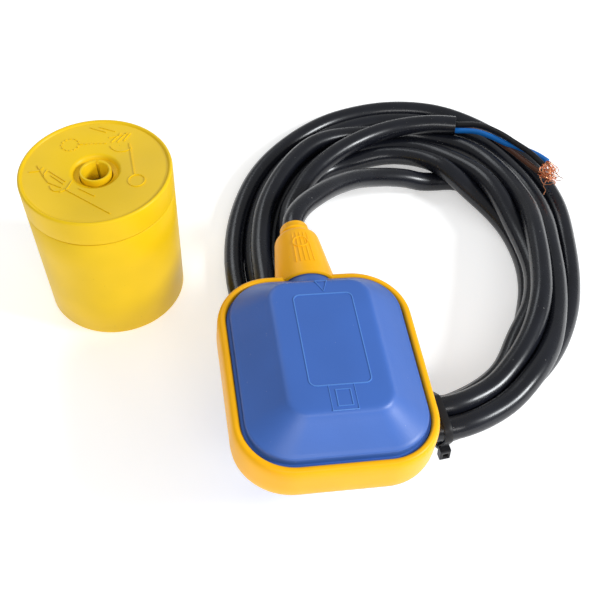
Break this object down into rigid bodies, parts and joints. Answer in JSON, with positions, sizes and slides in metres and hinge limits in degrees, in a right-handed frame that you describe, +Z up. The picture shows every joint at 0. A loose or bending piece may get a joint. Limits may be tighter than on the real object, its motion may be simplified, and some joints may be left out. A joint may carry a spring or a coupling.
{
  "type": "float level switch",
  "caption": "Float level switch for a submersible pump: a sealed plastic float with a ball-tipped microswitch inside, a coiled cable with a bared end, and a clip-on counterweight.",
  "frame": {"origin": "on the floor, under the middle of the box round the float and the counterweight", "axes": "+Z up; +Y the way the float's neck points, within 9 degrees; +X towards the middle of the cable coil"},
  "size_m": [0.2598, 0.2671, 0.075],
  "materials": {
    "float_yellow": "satin moulded polypropylene, finely textured",
    "float_blue": "satin moulded polypropylene, finely textured",
    "weight_yellow": "satin moulded plastic",
    "cable_rubber": "semi-gloss black rubber jacket",
    "seal_rubber": "matte",
    "clamp_nylon": "matte",
    "box_plastic": "natural, satin",
    "switch_black": "satin",
    "steel": "polished",
    "brass": "bright",
    "copper": "bright fine strands",
    "core_black": "satin insulation",
    "core_blue": "satin insulation",
    "core_brown": "satin insulation",
    "foam": "closed-cell foam",
    "ballast_iron": "as cast"
  },
  "bodies": {
    "float_and_cable": {"belt_and_neck": "float_yellow", "gland_ring": "float_yellow", "casing_upper": "float_blue", "casing_lower": "float_blue", "cable_lead": "cable_rubber", "cable_coil": "cable_rubber", "cable_tail": "cable_rubber", "cable_seal": "seal_rubber", "cable_in_neck": "seal_rubber", "cable_clamp": "clamp_nylon", "switch_box_tray": "box_plastic", "switch_box_lid": "box_plastic", "ball_cradle": "box_plastic", "microswitch_cover": "box_plastic", "microswitch_body": "switch_black", "tie_strap": "switch_black", "tie_head": "switch_black", "lever_pin": "steel", "terminal_closed": "brass", "terminal_common": "brass", "terminal_open": "brass", "copper_strands": "copper", "core_black": "core_black", "inner_core_black": "core_black", "core_blue": "core_blue", "inner_core_blue": "core_blue", "core_brown": "core_brown", "inner_core_brown": "core_brown", "foam_left": "foam", "foam_right": "foam"},
    "ball": {"steel_ball": "steel"},
    "lever": {"actuator_lever": "steel"},
    "plunger": {"microswitch_plunger": "box_plastic"},
    "counterweight": {"weight_body": "weight_yellow", "weight_lid": "weight_yellow", "weight_bore_tube": "box_plastic", "weight_ballast": "ballast_iron"},
    "clip": {"clip_ring": "weight_yellow"}
  },
  "joints": [
    {"name": "ball_roll", "type": "slide", "parent": "float_and_cable", "child": "ball", "axis": [-0.1528, 0.988, 0.0209], "range_m": [0, 0.0181]},
    {"name": "lever_swing", "type": "hinge", "parent": "float_and_cable", "child": "lever", "pos_m": [0.03088, -0.03392, 0.04449], "axis": [0.091, -0.0069, 0.9958], "range_deg": [0, 6], "stiffness_Nm_per_rad": 0.02},
    {"name": "plunger_press", "type": "slide", "parent": "float_and_cable", "child": "plunger", "axis": [-0.1528, 0.988, 0.0209], "range_m": [0, 0.001]},
    {"name": "counterweight_lift", "type": "slide", "parent": "float_and_cable", "child": "counterweight", "axis": [0, 0, 1], "range_m": [0, 0.09]},
    {"name": "clip_pull", "type": "slide", "parent": "counterweight", "child": "clip", "axis": [0, 0, 1], "range_m": [0, 0.02]}
  ],
  "couplings": [
    {"joint": "plunger_press", "follows": "lever_swing", "m_per_rad": 0.0085}
  ]
}
